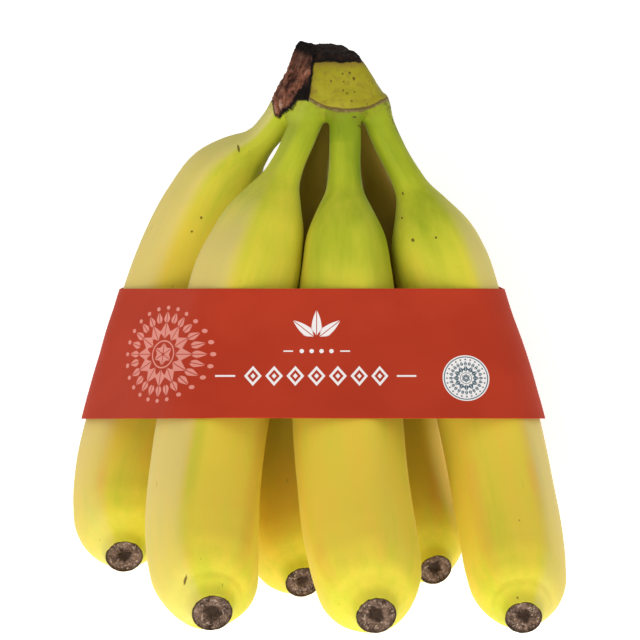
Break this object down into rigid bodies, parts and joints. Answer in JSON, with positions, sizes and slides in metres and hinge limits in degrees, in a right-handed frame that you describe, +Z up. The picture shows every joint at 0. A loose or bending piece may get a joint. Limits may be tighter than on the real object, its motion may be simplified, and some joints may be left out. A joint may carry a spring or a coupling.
{
  "type": "bunch of bananas",
  "caption": "Bunch of bananas lying on its convex side: two rows of curved fingers fused to one crown, held together by a wide plain paper band round the middle.",
  "frame": {"origin": "on the surface the bunch lies on, under the middle of its box", "axes": "+Z up; +Y from the blossom ends towards the crown; +X to the right as seen from the blossom ends with the crown away from the viewer"},
  "size_m": [0.1478, 0.2168, 0.083],
  "materials": {
    "peel": "waxy satin peel, yellow turning green at the necks, brown where it is cut or dried",
    "band_paper": "matte printed paper, orange red"
  },
  "bodies": {
    "root": {"banana_bunch": "peel", "paper_band": "band_paper"}
  },
  "joints": []
}
